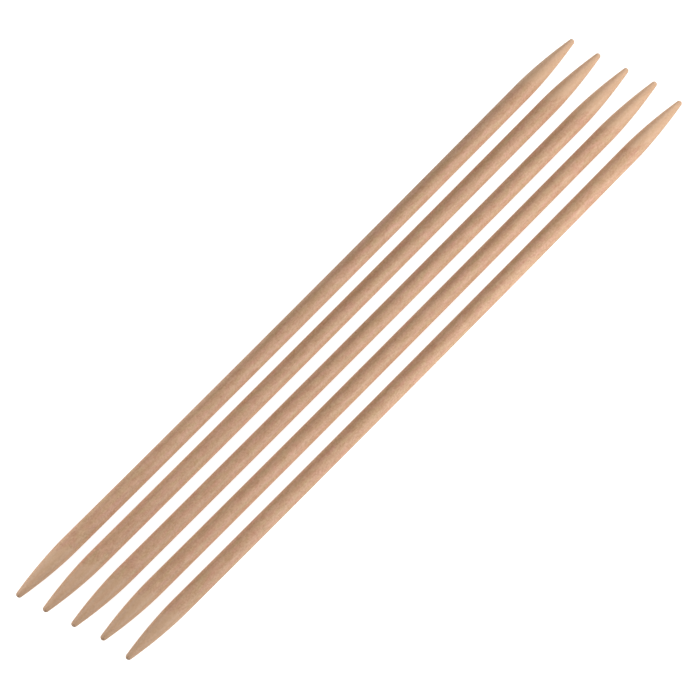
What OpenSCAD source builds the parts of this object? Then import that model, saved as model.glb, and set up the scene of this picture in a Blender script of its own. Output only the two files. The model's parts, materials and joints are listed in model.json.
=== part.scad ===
// A set of five straight wooden knitting needles, pointed at both ends, lying side by side on a table.
//
// The needles run along X and rest on Z = 0, with Y across the row. Each one is a single turned
// rod: a cylindrical shaft, a long curved taper at both ends and a small rounded point.
// The origin is under the middle of the row. All sizes are in millimetres.

/* [Needle] */
// Length from point to point
needle_length = 150; // [100:5:250]
// Diameter of the shaft
needle_d = 3.5; // [2.5:0.25:5]
// Length of the taper at each end, from the point to the full diameter
taper_length = 13.8; // [10:0.1:30]
// Radius of the rounded point
tip_r = 0.56; // [0.3:0.02:0.8]
// Half angle of the cone just behind the rounded point, in degrees
tip_angle = 8.8; // [8.5:0.1:12]

/* [Row] */
// Steps across the row from each needle's axis to the next one's
side_steps = [5.6, 5.65, 5.55, 5.9]; // [5.1:0.05:12]
// Steps along the needles from each needle's middle to the next one's
end_steps = [1.6, 1.8, 2.05, 0.75]; // [0:0.05:8]

/* [Colour] */
// Colour of the bare sanded wood
wood_colour = "#bf9778";

/* [Hidden] */
shaft_r = needle_d / 2;
half_length = needle_length / 2;
// Straight lines that stand in for the arc of a point and for the curve of a taper
tip_steps = 7;
taper_steps = 26;
round_fn = 64;

// The rounded point meets the taper where both have the slope of tip_angle. Distances are from
// the point's very end, along the axis.
join_x = tip_r * (1 - sin(tip_angle));
join_r = tip_r * cos(tip_angle);
// This power makes the taper leave the rounded point at tip_angle and reach the shaft with no edge
taper_power = tan(tip_angle) * (taper_length - join_x) / (shaft_r - join_r);

// Sum of the first n values of a list
function sum_first(values, n) = n == 0 ? 0 : values[n - 1] + sum_first(values, n - 1);

// Place of needle i, counted from 0: the row is centred on the origin, its first needle lies
// furthest to +Y and each next one a little further to +X
function row_y(i) = sum_first(side_steps, len(side_steps)) / 2 - sum_first(side_steps, i);
function row_x(i) = sum_first(end_steps, i) - sum_first(end_steps, len(end_steps)) / 2;

// Radius of the taper at a distance x from the point's very end
function taper_r(x) =
    shaft_r - (shaft_r - join_r) * pow((taper_length - x) / (taper_length - join_x), taper_power);

// Half outline of one end as [radius, distance from the very end], from the axis to the shaft
function end_outline() = concat(
    [for (k = [0:tip_steps]) let (a = k / tip_steps * (90 - tip_angle))
        [tip_r * sin(a), tip_r * (1 - cos(a))]],
    [for (k = [1:taper_steps]) let (x = join_x + (taper_length - join_x) * k / taper_steps)
        [taper_r(x), x]]
);

// One needle, turned about its own axis
module turned_needle() {
    lower = [for (p = end_outline()) [p[0], p[1] - half_length]];
    upper = [for (k = [len(lower) - 1:-1:0]) [lower[k][0], -lower[k][1]]];
    rotate([0, 90, 0])
        rotate_extrude($fn = round_fn)
            polygon(concat(lower, upper));
}

// Needle i of the row, resting on the table
module laid_needle(i) {
    color(wood_colour)
        translate([row_x(i), row_y(i), shaft_r])
            turned_needle();
}

module needle_1() { laid_needle(0); }
module needle_2() { laid_needle(1); }
module needle_3() { laid_needle(2); }
module needle_4() { laid_needle(3); }
module needle_5() { laid_needle(4); }

needle_1();
needle_2();
needle_3();
needle_4();
needle_5();
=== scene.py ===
"""Double-pointed wooden knitting needles lying in a row on a pale table.

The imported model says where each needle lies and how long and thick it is. This script turns each one
again as a finished piece of birch: a sanded rod with a slight bow, hand-finished tapers, and wood
whose growth rings, pores and rays run through the whole of it.
"""

import json
import math
import random

import bpy
from bpy.props import FloatProperty, FloatVectorProperty, IntProperty, PointerProperty
from mathutils import Matrix, Vector, noise

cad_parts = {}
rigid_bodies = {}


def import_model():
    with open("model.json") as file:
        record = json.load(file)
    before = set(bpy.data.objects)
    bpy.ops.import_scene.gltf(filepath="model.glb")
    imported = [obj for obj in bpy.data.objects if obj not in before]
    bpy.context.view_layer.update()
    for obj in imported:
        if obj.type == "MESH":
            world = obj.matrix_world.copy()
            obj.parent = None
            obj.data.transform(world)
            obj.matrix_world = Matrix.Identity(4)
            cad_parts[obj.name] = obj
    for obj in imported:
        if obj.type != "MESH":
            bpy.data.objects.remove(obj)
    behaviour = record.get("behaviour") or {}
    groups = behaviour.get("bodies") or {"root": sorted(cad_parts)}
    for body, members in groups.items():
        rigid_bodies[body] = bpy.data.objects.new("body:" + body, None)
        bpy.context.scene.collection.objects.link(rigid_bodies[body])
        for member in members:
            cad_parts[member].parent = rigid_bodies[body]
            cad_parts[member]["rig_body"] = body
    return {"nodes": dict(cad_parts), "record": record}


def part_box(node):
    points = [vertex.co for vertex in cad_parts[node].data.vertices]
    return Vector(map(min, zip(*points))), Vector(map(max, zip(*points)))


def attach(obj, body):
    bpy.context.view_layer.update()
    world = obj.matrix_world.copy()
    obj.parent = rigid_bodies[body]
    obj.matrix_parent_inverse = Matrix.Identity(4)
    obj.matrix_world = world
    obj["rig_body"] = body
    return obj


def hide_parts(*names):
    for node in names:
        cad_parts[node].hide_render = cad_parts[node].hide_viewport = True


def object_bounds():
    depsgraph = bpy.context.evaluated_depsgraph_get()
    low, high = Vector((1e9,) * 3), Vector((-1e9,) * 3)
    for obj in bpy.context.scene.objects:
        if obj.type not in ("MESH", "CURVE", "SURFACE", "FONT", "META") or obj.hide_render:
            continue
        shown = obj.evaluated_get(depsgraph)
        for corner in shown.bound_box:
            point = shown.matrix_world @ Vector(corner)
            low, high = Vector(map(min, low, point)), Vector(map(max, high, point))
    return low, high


bl_info = {
    "name": "Double-pointed needles",
    "version": (1, 0, 0),
    "blender": (4, 5, 0),
    "location": "View3D > Sidebar > Needles",
    "description": "Turns a set of wooden knitting needles and lays out a small studio around it",
    "category": "Add Mesh",
}

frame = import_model()
CAD_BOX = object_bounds()

MM = 0.001
NEEDLES = sorted(frame["nodes"])
MOUNTS = {mount["name"]: mount for mount in frame["record"]["mounts"]}
SHAFT_LENGTH = MOUNTS["shaft_1"]["dims"]["length_mm"] * MM
NEEDLE_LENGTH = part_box(NEEDLES[0])[1].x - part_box(NEEDLES[0])[0].x

# Rings of faces on the rounded point, on the taper and on half a shaft
POINT_RINGS, TAPER_RINGS, SHAFT_RINGS = 9, 64, 110
# Soft hollows that sanding leaves: their length, how tightly they follow each other round the needle,
# and the step from one needle's hollows to the next one's
HOLLOW_LENGTH, HOLLOWS_ROUND, HOLLOWS_APART = 9 * MM, 0.9, 7.3
# Seed of the first needle's own chances
SEED = 31

# Where the tree's pith lies from the first needle, across and up, and how far along the trunk that
# needle's wood starts, in millimetres, then the steps from each needle to the next one
FIRST_CUT, NEXT_CUT = Vector((22.0, -34.0, 0.0)), Vector((3.0, 2.0, 211.0))
# How steeply the grain runs out upwards, as a share of its slope across
SLOPE_UP_SHARE = 0.4

# Marks in the wood: length along the grain, width around the rings and depth outwards in millimetres,
# how full of the mark its cell is, and the share of cells that hold one
FLECKS = {
    "pores": {"Length": 1.1, "Width": 0.09, "Depth": 0.09, "Fullness": 0.45, "Share": 0.55},
    "rays": {"Length": 0.8, "Width": 0.22, "Depth": 1.6, "Fullness": 0.42, "Share": 0.16},
}
# How strongly each kind of mark darkens the wood
DARKENING = {"rings": 0.55, "pores": 0.50, "rays": 0.50}

# Light and dark patches: millimetres along the grain and across it, and how finely they break up
MOTTLE = {
    "tint": {"Length": 2.6, "Width": 0.9, "Detail": 3.0, "Crispness": 0.6},
    "streaks": {"Length": 11.0, "Width": 1.3, "Detail": 2.0, "Crispness": 0.5},
    "patches": {"Length": 1.9, "Width": 0.9, "Detail": 2.0, "Crispness": 0.6},
    "figure": {"Length": 0.36, "Width": 0.33, "Detail": 3.0, "Crispness": 0.6},
    "fibres": {"Length": 2.5, "Width": 0.07, "Detail": 2.0, "Crispness": 0.5},
}
# How far the tint swings the shaft from half way towards straw wood or rosy wood
TINT_SWING = 0.6
# How far each kind of patch swings the tone of the wood, either way
TONE_SWING = {"streaks": 0.065, "patches": 0.070, "figure": 0.142, "fibres": 0.060}
# How much rougher each mark leaves the surface
ROUGHER = {"patches": 0.03, "pores": 0.12, "taper": -0.05}
# How far each mark rises in the bump, as a share of a pore's depth
RISE = {"pores": -1.0, "rings": 0.35, "fibres": 0.12, "figure": 0.10, "scratches": 0.35, "helix": 0.08}

# Share of a taper's length that shows fresh sanded wood, and how strongly it shows
SANDED_SHARE, SANDED_STRENGTH = 0.9, 0.75
# Length of the end that handling has darkened, in millimetres, and its shade at the very point
HANDLED_LENGTH, HANDLED_SHADE = 1.6, 0.94
# How much quieter the marks and patches are on the tapers
TAPER_QUIET = 0.55
# Depth of a pore in the bump
BUMP_DEPTH = 0.02 * MM
# A Mix node's colour sockets, whose names its sockets of other kinds share
MIX_A, MIX_B, MIX_RESULT = 6, 7, 2

# How far the table reaches each way from the row
TABLE_REACH = 20.0
# Softboxes: name, place, what it looks at, width, height and watts
SOFTBOXES = (
    ("long_softbox", (0.0, -0.14, 0.10), (0.0, 0.0, 0.0), 0.20, 0.06, 0.236),
    ("side_softbox", (0.06, -0.14, 0.10), (0.03, 0.0, 0.0), 0.12, 0.06, 0.201),
    ("end_softbox", (0.17, 0.03, 0.06), (0.05, 0.0, 0.0), 0.08, 0.05, 0.165),
    ("fill_softbox", (-0.10, 0.12, 0.08), (-0.05, 0.0, 0.0), 0.08, 0.06, 0.186),
)


# ---------------------------------------------------------------- settings


class NeedleShape(bpy.types.PropertyGroup):
    """How each needle is turned and sanded."""

    taper_length: FloatProperty(
        name="Taper length",
        description="Length of each sanded taper, from the point to the full diameter",
        default=(NEEDLE_LENGTH - SHAFT_LENGTH) / 2,
        subtype="DISTANCE",
        unit="LENGTH",
    )
    point_radius: FloatProperty(
        name="Point radius",
        description="Radius of the rounded point",
        default=0.56 * MM,
        subtype="DISTANCE",
        unit="LENGTH",
    )
    point_wear: FloatProperty(
        name="Point wear",
        description="How much blunter the near points are than the far ones, on the radius",
        default=0.05 * MM,
        subtype="DISTANCE",
        unit="LENGTH",
    )
    point_angle: FloatProperty(
        name="Point angle",
        description="Half angle of the cone just behind the rounded point",
        default=math.radians(8.8),
        subtype="ANGLE",
        unit="ROTATION",
    )
    bow: FloatProperty(
        name="Bow",
        description="How far the wood has moved sideways from a straight line",
        default=0.16 * MM,
        subtype="DISTANCE",
        unit="LENGTH",
    )
    unevenness: FloatProperty(
        name="Unevenness",
        description="Depth of the soft hollows that sanding leaves",
        default=0.008 * MM,
        subtype="DISTANCE",
        unit="LENGTH",
    )
    ovality: FloatProperty(
        name="Ovality",
        description="How much wider than round the shaft has dried, on the radius",
        default=0.030 * MM,
        subtype="DISTANCE",
        unit="LENGTH",
    )
    slimming: FloatProperty(
        name="Slimming",
        description="How much slimmer each needle is at its far end than at its near end, on the radius",
        default=0.040 * MM,
        subtype="DISTANCE",
        unit="LENGTH",
    )
    point_play: FloatProperty(
        name="Point play",
        description="How far a hand-sanded point may sit off the needle's axis",
        default=0.05 * MM,
        subtype="DISTANCE",
        unit="LENGTH",
    )
    taper_play: FloatProperty(
        name="Taper play",
        description="How much longer than the shortest taper a taper may be",
        default=0.5 * MM,
        subtype="DISTANCE",
        unit="LENGTH",
    )
    sides: IntProperty(
        name="Sides",
        description="Faces around each needle",
        default=72,
        min=16,
        max=128,
    )


class WoodFinish(bpy.types.PropertyGroup):
    """Colours and grain of the birch."""

    straw_wood: FloatVectorProperty(
        name="Straw wood",
        description="Colour of the yellower stretches of the shaft",
        default=(0.444, 0.287, 0.157),
        size=3,
        subtype="COLOR",
        min=0,
        max=1,
    )
    rosy_wood: FloatVectorProperty(
        name="Rosy wood",
        description="Colour of the pinker stretches of the shaft",
        default=(0.471, 0.253, 0.166),
        size=3,
        subtype="COLOR",
        min=0,
        max=1,
    )
    late_wood: FloatVectorProperty(
        name="Late wood",
        description="Colour of the dark line that ends each growth ring",
        default=(0.365, 0.200, 0.113),
        size=3,
        subtype="COLOR",
        min=0,
        max=1,
    )
    pore_colour: FloatVectorProperty(
        name="Pores",
        description="Colour inside the pores and the ends of the rays",
        default=(0.230, 0.112, 0.060),
        size=3,
        subtype="COLOR",
        min=0,
        max=1,
    )
    sanded_wood: FloatVectorProperty(
        name="Sanded wood",
        description="Colour of the fresh wood on the tapers",
        default=(0.494, 0.317, 0.196),
        size=3,
        subtype="COLOR",
        min=0,
        max=1,
    )
    fibre_lift: FloatVectorProperty(
        name="Fibre lift",
        description="How much a pale fibre lifts the red, green and blue of the wood",
        default=(1.0, 1.38, 2.00),
        size=3,
        min=0,
        max=3,
    )
    ring_width: FloatProperty(
        name="Ring width",
        description="Growth of one year, in millimetres",
        default=1.7,
        min=0.3,
        max=6,
    )
    grain_slope: FloatProperty(
        name="Grain slope",
        description="How far the grain runs out of the needle, as rise over run",
        default=0.03,
        min=0,
        max=0.2,
    )
    roughness: FloatProperty(
        name="Roughness",
        description="Satin of the sanded and waxed surface",
        default=0.60,
        subtype="FACTOR",
        min=0,
        max=1,
    )


class Studio(bpy.types.PropertyGroup):
    """Table, lights and camera."""

    table_colour: FloatVectorProperty(
        name="Table",
        description="Colour of the pale table",
        default=(0.35, 0.35, 0.35),
        size=3,
        subtype="COLOR",
        min=0,
        max=1,
    )
    table_glow: FloatProperty(
        name="Table glow",
        description="How bright the white acrylic table looks of its own",
        default=0.97,
        min=0,
        max=2,
    )
    table_light: FloatProperty(
        name="Table light",
        description="Light that the table throws up onto the needles",
        default=0.627,
        min=0,
        max=2,
    )
    room_light: FloatProperty(
        name="Room light",
        description="Strength of the even light from all round",
        default=0.074,
        min=0,
        max=4,
    )
    backdrop: FloatProperty(
        name="Backdrop",
        description="How bright the white backdrop behind the table looks",
        default=0.996,
        min=0,
        max=4,
    )
    camera_aim: FloatVectorProperty(
        name="Camera aim",
        description="Point on the table that the camera looks at, from the middle of the row",
        default=(-0.21 * MM, -0.06 * MM, 0.0),
        size=3,
        subtype="TRANSLATION",
        unit="LENGTH",
    )
    camera_distance: FloatProperty(
        name="Camera distance",
        description="From the point that the camera looks at to the camera",
        default=2.25,
        subtype="DISTANCE",
        unit="LENGTH",
    )
    camera_tilt: FloatProperty(
        name="Camera tilt",
        description="How far the camera leans from straight above towards the needles' near ends",
        default=math.radians(14.0),
        subtype="ANGLE",
        unit="ROTATION",
    )
    camera_roll: FloatProperty(
        name="Camera roll",
        description="Turn of the needles in the picture, from level",
        default=math.radians(45.15),
        subtype="ANGLE",
        unit="ROTATION",
    )
    lens: FloatProperty(
        name="Lens",
        description="Focal length on a 36 mm sensor",
        default=625.2,
        subtype="DISTANCE_CAMERA",
        unit="CAMERA",
    )


# ---------------------------------------------------------------- node wiring


class Wiring:
    """Adds nodes to one tree and joins them, with plain numbers where nothing is joined."""

    def __init__(self, tree):
        self.tree = tree

    def feed(self, socket, value):
        """Joins an output to the socket, or sets the socket's own value."""
        if isinstance(value, bpy.types.NodeSocket):
            self.tree.links.new(value, socket)
        else:
            socket.default_value = value

    def node(self, kind, inputs=None, **settings):
        """A new node with its inputs fed by name."""
        made = self.tree.nodes.new(kind)
        for name, value in settings.items():
            setattr(made, name, value)
        for name, value in (inputs or {}).items():
            self.feed(made.inputs[name], value)
        return made

    def math(self, operation, *values, clamp=False):
        """The result of a sum on numbers."""
        made = self.node("ShaderNodeMath", operation=operation, use_clamp=clamp)
        for socket, value in zip(made.inputs, values):
            self.feed(socket, value)
        return made.outputs[0]

    def vector(self, operation, *values):
        """The result of a sum on vectors or colours."""
        made = self.node("ShaderNodeVectorMath", operation=operation)
        for socket, value in zip(made.inputs, values):
            self.feed(socket, value)
        return made.outputs["Vector"]

    def scaled(self, vector, factor):
        """A vector or colour times a number."""
        made = self.node("ShaderNodeVectorMath", {"Vector": vector, "Scale": factor}, operation="SCALE")
        return made.outputs["Vector"]

    def step(self, value, low, high, result_low=0.0, result_high=1.0):
        """A smooth step of value from low to high."""
        ends = {"From Min": low, "From Max": high, "To Min": result_low, "To Max": result_high}
        made = self.node(
            "ShaderNodeMapRange",
            {"Value": value, **ends},
            interpolation_type="SMOOTHSTEP",
            clamp=True,
        )
        return made.outputs["Result"]

    def split(self, vector):
        """The X, Y and Z of a vector."""
        return self.node("ShaderNodeSeparateXYZ", {"Vector": vector}).outputs

    def combine(self, x, y, z):
        """A vector of X, Y and Z."""
        return self.node("ShaderNodeCombineXYZ", {"X": x, "Y": y, "Z": z}).outputs["Vector"]

    def mix(self, factor, a, b):
        """A colour between a and b."""
        made = self.node("ShaderNodeMix", {"Factor": factor}, data_type="RGBA")
        self.feed(made.inputs[MIX_A], a)
        self.feed(made.inputs[MIX_B], b)
        return made.outputs[MIX_RESULT]

    def group(self, tree, **inputs):
        """The outputs of a node group. An underscore in an input's name stands for a space."""
        made = self.tree.nodes.new("ShaderNodeGroup")
        made.node_tree = tree
        for name, value in inputs.items():
            self.feed(made.inputs[name.replace("_", " ")], value)
        return made.outputs


def new_group(name, inputs, outputs):
    """A shader node group with named sockets, its wiring, and the sockets inside it.

    inputs holds (name, kind, default) and outputs holds (name, kind), where kind is Float or Vector.
    """
    tree = bpy.data.node_groups.new(name, "ShaderNodeTree")
    for socket_name, kind, default in inputs:
        socket = tree.interface.new_socket(
            name=socket_name, in_out="INPUT", socket_type="NodeSocket" + kind
        )
        if default is not None:
            socket.default_value = default
    for socket_name, kind in outputs:
        tree.interface.new_socket(
            name=socket_name, in_out="OUTPUT", socket_type="NodeSocket" + kind
        )
    wires = Wiring(tree)
    given = tree.nodes.new("NodeGroupInput").outputs
    result = tree.nodes.new("NodeGroupOutput").inputs
    return tree, wires, given, result


def grain_space_group():
    """Turns a place on the needle into a place in the tree it was sawn from, in millimetres.

    X runs along the trunk, Y around the growth rings and Z outwards from the pith.
    """
    tree, w, given, result = new_group(
        "Grain Space",
        [
            ("Position", "Vector", None),
            ("Slope Across", "Float", 0.03),
            ("Slope Up", "Float", 0.01),
            ("Pith Across", "Float", 20.0),
            ("Pith Up", "Float", -30.0),
            ("Waviness", "Float", 0.2),
            ("Cut From", "Float", 0.0),
        ],
        [("Grain", "Vector")],
    )
    x, y, z = w.split(w.scaled(given["Position"], 1 / MM))
    along = w.math("ADD", x, given["Cut From"])
    waves_along, waves_across = 0.035, 0.16
    wave_place = w.combine(
        w.math("MULTIPLY", along, waves_along),
        w.math("MULTIPLY", y, waves_across),
        w.math("MULTIPLY", z, waves_across),
    )
    wave = w.node("ShaderNodeTexNoise", {"Vector": wave_place, "Scale": 1.0, "Detail": 2.0})
    wave_x, wave_y, _ = w.split(wave.outputs["Color"])
    swing = w.math("MULTIPLY", given["Waviness"], 2.0)
    across = w.math("MULTIPLY_ADD", x, given["Slope Across"], y)
    across = w.math("MULTIPLY_ADD", w.math("SUBTRACT", wave_x, 0.5), swing, across)
    across = w.math("SUBTRACT", across, given["Pith Across"])
    up = w.math("MULTIPLY_ADD", x, given["Slope Up"], z)
    up = w.math("MULTIPLY_ADD", w.math("SUBTRACT", wave_y, 0.5), swing, up)
    up = w.math("SUBTRACT", up, given["Pith Up"])
    squares = w.math("ADD", w.math("MULTIPLY", across, across), w.math("MULTIPLY", up, up))
    radial = w.math("SQRT", squares)
    pith_squares = w.math(
        "ADD",
        w.math("MULTIPLY", given["Pith Across"], given["Pith Across"]),
        w.math("MULTIPLY", given["Pith Up"], given["Pith Up"]),
    )
    around = w.math("MULTIPLY", w.math("ARCTAN2", across, up), w.math("SQRT", pith_squares))
    w.feed(result["Grain"], w.combine(along, around, radial))
    return tree


def growth_rings_group():
    """Dark late wood at the end of each year's growth: it builds up slowly and stops short."""
    tree, w, given, result = new_group(
        "Growth Rings",
        [
            ("Grain", "Vector", None),
            ("Ring Width", "Float", 1.7),
            ("Sharpness", "Float", 5.0),
        ],
        [("Late Wood", "Float")],
    )
    along, around, radial = w.split(given["Grain"])
    drift_along, drift_around, drift_outwards = 0.05, 0.2, 0.35
    place = w.combine(
        w.math("MULTIPLY", along, drift_along),
        w.math("MULTIPLY", around, drift_around),
        w.math("MULTIPLY", radial, drift_outwards),
    )
    uneven = w.node("ShaderNodeTexNoise", {"Vector": place, "Scale": 1.0, "Detail": 3.0})
    years = w.math("DIVIDE", radial, given["Ring Width"])
    ring_play, late_stop, faintest = 0.9, 0.93, 0.25
    years = w.math("MULTIPLY_ADD", uneven.outputs["Fac"], ring_play, years)
    share = w.math("FRACT", years)
    build_up = w.math("POWER", share, given["Sharpness"])
    stop = w.step(share, late_stop, 1.0, 1.0, 0.0)
    fade = w.node("ShaderNodeTexNoise", {"Vector": place, "Scale": 0.6, "Detail": 1.0})
    clear = w.step(fade.outputs["Fac"], 0.35, 0.65, faintest, 1.0)
    w.feed(result["Late Wood"], w.math("MULTIPLY", w.math("MULTIPLY", build_up, stop), clear))
    return tree


def flecks_group():
    """Small lens-shaped marks of a given length along the grain, width around it and depth outwards.

    Share is the share of the cells that hold a mark.
    """
    tree, w, given, result = new_group(
        "Flecks",
        [
            ("Grain", "Vector", None),
            ("Length", "Float", 1.5),
            ("Width", "Float", 0.12),
            ("Depth", "Float", 0.12),
            ("Fullness", "Float", 0.4),
            ("Share", "Float", 0.5),
        ],
        [("Flecks", "Float")],
    )
    along, around, radial = w.split(given["Grain"])
    place = w.combine(
        w.math("DIVIDE", along, given["Length"]),
        w.math("DIVIDE", around, given["Width"]),
        w.math("DIVIDE", radial, given["Depth"]),
    )
    cells = w.node("ShaderNodeTexVoronoi", {"Vector": place, "Scale": 1.0, "Randomness": 1.0})
    inside = w.step(cells.outputs["Distance"], 0.0, given["Fullness"], 1.0, 0.0)
    chance, strength, _ = w.split(cells.outputs["Color"])
    chosen = w.math("LESS_THAN", chance, given["Share"])
    faintest = 0.4
    strength = w.math("MULTIPLY_ADD", strength, 1 - faintest, faintest)
    w.feed(result["Flecks"], w.math("MULTIPLY", w.math("MULTIPLY", inside, strength), chosen))
    return tree


def mottle_group():
    """Soft light and dark patches drawn out along the grain, from -1 to 1."""
    tree, w, given, result = new_group(
        "Mottle",
        [
            ("Grain", "Vector", None),
            ("Length", "Float", 8.0),
            ("Width", "Float", 1.5),
            ("Detail", "Float", 3.0),
            ("Crispness", "Float", 0.5),
        ],
        [("Tone", "Float")],
    )
    along, around, radial = w.split(given["Grain"])
    place = w.combine(
        w.math("DIVIDE", along, given["Length"]),
        w.math("DIVIDE", around, given["Width"]),
        w.math("DIVIDE", radial, given["Width"]),
    )
    patches = w.node(
        "ShaderNodeTexNoise",
        {"Vector": place, "Scale": 1.0, "Detail": given["Detail"], "Roughness": given["Crispness"]},
    )
    contrast = 4.0
    w.feed(result["Tone"], w.math("MULTIPLY_ADD", patches.outputs["Fac"], contrast, -contrast / 2))
    return tree


def taper_group():
    """1 on the tapers and 0 on the shaft, with an edge that runs round the needle at a slant."""
    tree, w, given, result = new_group(
        "Sanded Taper",
        [
            ("Position", "Vector", None),
            ("Half Length", "Float", 75.0),
            ("Start", "Float", 12.0),
            ("Slant", "Float", 2.0),
            ("Softness", "Float", 1.5),
        ],
        [("Taper", "Float"), ("From End", "Float")],
    )
    x, y, z = w.split(w.scaled(given["Position"], 1 / MM))
    from_end = w.math("SUBTRACT", given["Half Length"], w.math("ABSOLUTE", x))
    lean = w.math("SINE", w.math("ARCTAN2", y, z))
    side = w.math("MULTIPLY", lean, w.math("SIGN", x))
    wander = w.node("ShaderNodeTexNoise", {"Vector": w.combine(x, y, z), "Scale": 0.5, "Detail": 2.0})
    wander_reach = 3.0
    edge = w.math("MULTIPLY_ADD", side, given["Slant"], given["Start"])
    edge = w.math("MULTIPLY_ADD", w.math("SUBTRACT", wander.outputs["Fac"], 0.5), wander_reach, edge)
    low = w.math("SUBTRACT", edge, given["Softness"])
    high = w.math("ADD", edge, given["Softness"])
    w.feed(result["Taper"], w.step(from_end, low, high, 1.0, 0.0))
    w.feed(result["From End"], from_end)
    return tree


def tool_marks_group():
    """Height of the faint marks that turning and sanding leave: a long helix and fine scratches."""
    tree, w, given, result = new_group(
        "Tool Marks",
        [
            ("Position", "Vector", None),
            ("Pitch", "Float", 2.4),
            ("Scratch Length", "Float", 1.6),
            ("Scratch Width", "Float", 0.05),
        ],
        [("Helix", "Float"), ("Scratches", "Float")],
    )
    x, y, z = w.split(w.scaled(given["Position"], 1 / MM))
    turn = w.math("ARCTAN2", z, y)
    phase = w.math("MULTIPLY_ADD", w.math("DIVIDE", x, given["Pitch"]), math.tau, turn)
    w.feed(result["Helix"], w.math("SINE", phase))
    place = w.combine(
        w.math("DIVIDE", x, given["Scratch Length"]),
        w.math("DIVIDE", y, given["Scratch Width"]),
        w.math("DIVIDE", z, given["Scratch Width"]),
    )
    scratches = w.node("ShaderNodeTexNoise", {"Vector": place, "Scale": 1.0, "Detail": 2.0})
    w.feed(result["Scratches"], scratches.outputs["Fac"])
    return tree


def wood_groups():
    """The shader node groups, built once."""
    return {
        "grain": grain_space_group(),
        "rings": growth_rings_group(),
        "flecks": flecks_group(),
        "mottle": mottle_group(),
        "taper": taper_group(),
        "tool_marks": tool_marks_group(),
    }


# ---------------------------------------------------------------- wood


def rgba(colour):
    """An opaque colour."""
    return (*colour, 1.0)


def wood_marks(w, groups, finish, shape, number):
    """The masks and tones that vary over one needle, by name.

    number picks where in the tree the needle's wood comes from.
    """
    position = w.node("ShaderNodeTexCoord").outputs["Object"]
    pith_across, pith_up, cut_from = FIRST_CUT + NEXT_CUT * number
    grain = w.group(
        groups["grain"],
        Position=position,
        Slope_Across=finish.grain_slope,
        Slope_Up=finish.grain_slope * SLOPE_UP_SHARE,
        Pith_Across=pith_across,
        Pith_Up=pith_up,
        Waviness=0.25,
        Cut_From=cut_from,
    )["Grain"]
    years = w.group(groups["rings"], Grain=grain, Ring_Width=finish.ring_width, Sharpness=4.0)
    marks = {"rings": years["Late Wood"]}
    for name, sizes in FLECKS.items():
        marks[name] = w.group(groups["flecks"], Grain=grain, **sizes)["Flecks"]
    for name, sizes in MOTTLE.items():
        marks[name] = w.group(groups["mottle"], Grain=grain, **sizes)["Tone"]
    sanding = w.group(
        groups["taper"],
        Position=position,
        Half_Length=NEEDLE_LENGTH / MM / 2,
        Start=shape.taper_length / MM * SANDED_SHARE,
        Slant=2.0,
        Softness=0.9,
    )
    marks["taper"], marks["from_end"] = sanding["Taper"], sanding["From End"]
    turning = w.group(
        groups["tool_marks"], Position=position, Pitch=2.4, Scratch_Length=1.6, Scratch_Width=0.06
    )
    marks["helix"], marks["scratches"] = turning["Helix"], turning["Scratches"]
    return marks


def added_up(w, marks, amounts, start):
    """start plus every mark in amounts times its amount."""
    total = start
    for name, amount in amounts.items():
        total = w.math("MULTIPLY_ADD", marks[name], amount, total)
    return total


def wood_colour(w, marks, finish):
    """Straw to rosy wood on the shaft and fresh wood on the tapers, with marks and tones over both."""
    rosy = w.math("MULTIPLY_ADD", marks["tint"], TINT_SWING, 0.5, clamp=True)
    shaft = w.mix(rosy, rgba(finish.straw_wood), rgba(finish.rosy_wood))
    fresh = w.math("MULTIPLY", marks["taper"], SANDED_STRENGTH)
    ground = w.mix(fresh, shaft, rgba(finish.sanded_wood))
    quiet = w.math("MULTIPLY_ADD", marks["taper"], -TAPER_QUIET, 1.0)
    for name, dark in (
        ("rings", finish.late_wood),
        ("pores", finish.pore_colour),
        ("rays", finish.pore_colour),
    ):
        amount = w.math("MULTIPLY", w.math("MULTIPLY", marks[name], DARKENING[name]), quiet)
        ground = w.mix(amount, ground, rgba(dark))
    tone = added_up(w, marks, TONE_SWING, 0.0)
    lift = w.scaled(finish.fibre_lift, w.math("MULTIPLY", tone, quiet))
    handled = w.step(marks["from_end"], 0.0, HANDLED_LENGTH, HANDLED_SHADE, 1.0)
    return w.scaled(w.vector("MULTIPLY_ADD", ground, lift, ground), handled)


def birch(name, groups, finish, shape, number):
    """The bare, sanded and lightly waxed birch of one needle."""
    material = bpy.data.materials.new(name)
    material.use_nodes = True
    material.node_tree.nodes.clear()
    w = Wiring(material.node_tree)
    marks = wood_marks(w, groups, finish, shape, number)
    height = added_up(w, marks, RISE, 0.0)
    bump = w.node("ShaderNodeBump", {"Strength": 0.5, "Distance": BUMP_DEPTH, "Height": height})
    surface = w.node(
        "ShaderNodeBsdfPrincipled",
        {
            "Base Color": wood_colour(w, marks, finish),
            "Roughness": added_up(w, marks, ROUGHER, finish.roughness),
            "Normal": bump.outputs["Normal"],
            "IOR": 1.46,
            "Coat Weight": 0.04,
            "Coat Roughness": 0.4,
        },
    )
    w.node("ShaderNodeOutputMaterial", {"Surface": surface.outputs["BSDF"]})
    return material


# ---------------------------------------------------------------- needles


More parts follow.
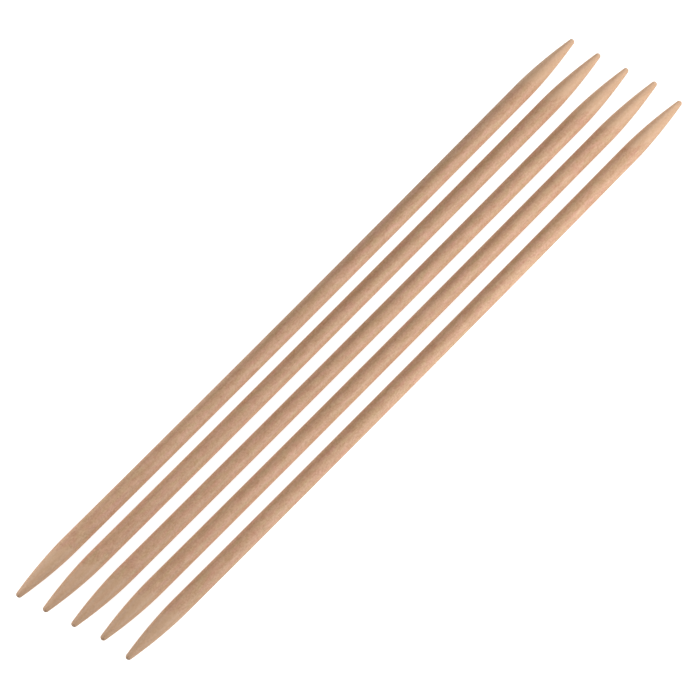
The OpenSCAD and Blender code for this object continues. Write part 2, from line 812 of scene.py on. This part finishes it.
def outline(shape, shaft_radius, half_length, longer, blunter):
    """Rings along half a needle as (distance from the end, radius), from the point inwards.

    longer and blunter are what this end has on top of the shape's taper length and point radius.
    """
    tip, angle, taper = shape.point_radius + blunter, shape.point_angle, shape.taper_length + longer
    join_x = tip * (1 - math.sin(angle))
    join_r = tip * math.cos(angle)
    power = math.tan(angle) * (taper - join_x) / (shaft_radius - join_r)
    rings = []
    for k in range(1, POINT_RINGS + 1):
        turn = (math.pi / 2 - angle) * k / POINT_RINGS
        rings.append((tip * (1 - math.cos(turn)), tip * math.sin(turn)))
    for k in range(1, TAPER_RINGS + 1):
        x = join_x + (taper - join_x) * k / TAPER_RINGS
        still_to_grow = ((taper - x) / (taper - join_x)) ** power
        rings.append((x, shaft_radius - (shaft_radius - join_r) * still_to_grow))
    for k in range(1, SHAFT_RINGS + 1):
        rings.append((taper + (half_length - taper) * k / SHAFT_RINGS, shaft_radius))
    return rings


def bow_at(x, half_length, depth):
    """Sideways offset of the centre line: a shallow bow, a little stronger towards the near end."""
    u = x / half_length
    curve, still_at, lean = 1.6, 0.35, 0.35
    return depth * ((u * u - still_at) * curve - lean * u)


def tube_faces(rings, sides):
    """Faces of a tube of rings, closed by a fan to each of the two vertices after the last ring."""
    near_end, far_end, last_ring = rings * sides, rings * sides + 1, (rings - 1) * sides
    faces = []
    for ring in range(rings - 1):
        for k in range(sides):
            a, b = ring * sides + k, ring * sides + (k + 1) % sides
            faces.append((a, b, b + sides, a + sides))
    for k in range(sides):
        following = (k + 1) % sides
        faces.append((near_end, following, k))
        faces.append((far_end, last_ring + k, last_ring + following))
    return faces


def needle_mesh(name, shape, shaft_radius, half_length, lean, number):
    """One needle about its own axis, resting on its flatter side.

    lean is 1 or -1 for a needle at the edge of the row, which stays on the inner side of its place,
    and 0 for the others.
    """
    chance = random.Random(SEED + number)
    near_longer = shape.taper_play * chance.random()
    far_longer = shape.taper_play * chance.random()
    near = outline(shape, shaft_radius, half_length, near_longer, shape.point_wear)
    far = outline(shape, shaft_radius, half_length, far_longer, 0.0)
    stations = [(x - half_length, r) for x, r in near]
    stations += [(half_length - x, r) for x, r in reversed(far[:-1])]
    off_axis = [
        (chance.uniform(-1, 1) * shape.point_play, chance.uniform(-1, 1) * shape.point_play)
        for _ in ("near", "far")
    ]
    # Thinned by as much as the hollows swing, so that no rise passes the shaft's own radius
    spare = 1 - shape.unevenness / shaft_radius
    bows = [bow_at(x, half_length, shape.bow) for x, _ in stations]
    shift = {1: -max(bows) - shape.ovality, -1: shape.ovality - min(bows), 0: 0.0}[lean]
    verts = []
    for (x, r), bow in zip(stations, bows):
        side_off, up_off = off_axis[x > 0]
        thinned = 1 - r / shaft_radius
        slimmer = shape.slimming * (0.5 + 0.5 * x / half_length)
        for k in range(shape.sides):
            turn = math.tau * k / shape.sides
            y, z = math.cos(turn), math.sin(turn)
            across = y * HOLLOWS_ROUND + number * HOLLOWS_APART
            place = Vector((x / HOLLOW_LENGTH, across, z * HOLLOWS_ROUND))
            hollow = shape.unevenness * noise.noise(place)
            uneven = hollow + shape.ovality * math.cos(2 * turn) - slimmer
            radius = r * spare + uneven * min(1.0, r / shaft_radius)
            side = y * radius + bow + shift + side_off * thinned
            verts.append((x, side, z * radius + up_off * thinned - shape.ovality))
    for x, bow, (side_off, up_off) in (
        (-half_length, bows[0], off_axis[0]),
        (half_length, bows[-1], off_axis[1]),
    ):
        verts.append((x, bow + shift + side_off, up_off - shape.ovality))
    mesh = bpy.data.meshes.new(name)
    mesh.from_pydata(verts, [], tube_faces(len(stations), shape.sides))
    mesh.shade_smooth()
    mesh.update()
    return mesh


def lay_needle(node, groups, shape, finish, number):
    """Turns the needle that a CAD node stands for and lays it in that node's place."""
    low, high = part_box(node)
    centre = (low + high) / 2
    shaft_radius, half_length = (high.z - low.z) / 2, (high.x - low.x) / 2
    # 1 for the needle at the row's +Y edge, -1 for the one at its -Y edge and 0 for those between
    row_low, row_high = CAD_BOX
    lean = (high.y > row_high.y - MM) - (low.y < row_low.y + MM)
    name = node + "_birch"
    mesh = needle_mesh(name, shape, shaft_radius, half_length, lean, number)
    needle = bpy.data.objects.new(name, mesh)
    needle.location = centre
    bpy.context.scene.collection.objects.link(needle)
    needle.data.materials.append(birch("birch_" + str(number + 1), groups, finish, shape, number))
    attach(needle, frame["nodes"][node]["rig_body"])
    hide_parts(node)
    return needle


class NEEDLES_OT_add_needles(bpy.types.Operator):
    """Turn the wooden needles and lay them in their places"""

    bl_idname = "needles.add_needles"
    bl_label = "Add needles"

    def execute(self, context):
        groups = wood_groups()
        scene = context.scene
        for number, node in enumerate(NEEDLES):
            lay_needle(node, groups, scene.needle_shape, scene.wood_finish, number)
        return {"FINISHED"}


# ---------------------------------------------------------------- stage


def table_material(studio):
    """White acrylic with light coming up through it, brighter to the eye than it lights the needles."""
    material = bpy.data.materials.new("white_table")
    material.use_nodes = True
    surface = material.node_tree.nodes["Principled BSDF"]
    w = Wiring(material.node_tree)
    seen = w.node("ShaderNodeLightPath").outputs["Is Camera Ray"]
    surface.inputs["Base Color"].default_value = (*studio.table_colour, 1.0)
    surface.inputs["Roughness"].default_value = 0.9
    surface.inputs["Specular IOR Level"].default_value = 0.0
    surface.inputs["Emission Color"].default_value = (1.0, 1.0, 1.0, 1.0)
    glow = w.step(seen, 0.0, 1.0, studio.table_light, studio.table_glow)
    w.feed(surface.inputs["Emission Strength"], glow)
    return material


def add_table(studio):
    """A flat table that goes on past the edges of the picture."""
    corners = [(x * TABLE_REACH, y * TABLE_REACH, 0) for x, y in ((-1, -1), (1, -1), (1, 1), (-1, 1))]
    mesh = bpy.data.meshes.new("table")
    mesh.from_pydata(corners, [], [(0, 1, 2, 3)])
    mesh.materials.append(table_material(studio))
    table = bpy.data.objects.new("table", mesh)
    table.location.z = CAD_BOX[0].z
    bpy.context.scene.collection.objects.link(table)


def aim(thing, place, target, up=(0.0, 0.0, 1.0)):
    """Puts a light or camera at a place, looking at the target."""
    back = (Vector(place) - Vector(target)).normalized()
    right = Vector(up).cross(back).normalized()
    turned_up = back.cross(right)
    turn = Matrix((right, turned_up, back)).transposed()
    thing.matrix_world = Matrix.Translation(place) @ turn.to_4x4()


def add_softbox(name, place, target, width, height, watts):
    """A rectangular softbox that the camera doesn't see."""
    lamp = bpy.data.lights.new(name, "AREA")
    lamp.shape = "RECTANGLE"
    lamp.size, lamp.size_y = width, height
    lamp.energy = watts
    softbox = bpy.data.objects.new(name, lamp)
    bpy.context.scene.collection.objects.link(softbox)
    aim(softbox, place, target)
    softbox.visible_camera = False


def add_lights(studio):
    """Even light from all round, the white backdrop and the softboxes."""
    world = bpy.data.worlds.new("room")
    world.use_nodes = True
    background = world.node_tree.nodes["Background"]
    background.inputs["Color"].default_value = (1.0, 1.0, 1.0, 1.0)
    w = Wiring(world.node_tree)
    seen = w.node("ShaderNodeLightPath").outputs["Is Camera Ray"]
    w.feed(background.inputs["Strength"], w.step(seen, 0.0, 1.0, studio.room_light, studio.backdrop))
    bpy.context.scene.world = world
    for softbox in SOFTBOXES:
        add_softbox(*softbox)


def add_camera(studio):
    """A long lens above the row, leaning towards the near ends, with the needles rising to the right."""
    low, high = CAD_BOX
    middle = (low + high) / 2
    target = Vector((middle.x, middle.y, low.z)) + Vector(studio.camera_aim)
    back = Vector((-math.sin(studio.camera_tilt), 0.0, math.cos(studio.camera_tilt)))
    along = Vector((0.0, 1.0, 0.0)).cross(back)
    across = back.cross(along)
    up = along * math.sin(studio.camera_roll) + across * math.cos(studio.camera_roll)
    camera_data = bpy.data.cameras.new("camera")
    camera_data.lens = studio.lens
    camera_data.sensor_width = 36.0
    camera_data.clip_start, camera_data.clip_end = 0.01, 100.0
    camera = bpy.data.objects.new("camera", camera_data)
    bpy.context.scene.collection.objects.link(camera)
    aim(camera, target + back * studio.camera_distance, target, up)
    bpy.context.scene.camera = camera


class NEEDLES_OT_add_stage(bpy.types.Operator):
    """Add the pale table, the soft lights and the camera"""

    bl_idname = "needles.add_stage"
    bl_label = "Add stage"

    def execute(self, context):
        studio = context.scene.needle_studio
        add_table(studio)
        add_lights(studio)
        add_camera(studio)
        context.scene.view_settings.view_transform = "Standard"
        return {"FINISHED"}


class NEEDLES_PT_panel(bpy.types.Panel):
    """Needles, table and lights"""

    bl_label = "Double-pointed needles"
    bl_idname = "NEEDLES_PT_panel"
    bl_space_type = "VIEW_3D"
    bl_region_type = "UI"
    bl_category = "Needles"

    def draw(self, context):
        layout = self.layout
        for settings, operator in (
            ((context.scene.needle_shape, context.scene.wood_finish), NEEDLES_OT_add_needles),
            ((context.scene.needle_studio,), NEEDLES_OT_add_stage),
        ):
            box = layout.box()
            for group in settings:
                for name in group.__annotations__:
                    box.prop(group, name)
            box.operator(operator.bl_idname)


CLASSES = (
    NeedleShape,
    WoodFinish,
    Studio,
    NEEDLES_OT_add_needles,
    NEEDLES_OT_add_stage,
    NEEDLES_PT_panel,
)


def register():
    for cls in CLASSES:
        bpy.utils.register_class(cls)
    bpy.types.Scene.needle_shape = PointerProperty(type=NeedleShape)
    bpy.types.Scene.wood_finish = PointerProperty(type=WoodFinish)
    bpy.types.Scene.needle_studio = PointerProperty(type=Studio)


def unregister():
    del bpy.types.Scene.needle_shape
    del bpy.types.Scene.wood_finish
    del bpy.types.Scene.needle_studio
    for cls in reversed(CLASSES):
        bpy.utils.unregister_class(cls)


def main():
    """Builds the stage and the needles."""
    register()
    bpy.ops.needles.add_stage()
    bpy.ops.needles.add_needles()


if __name__ == "__main__":
    main()
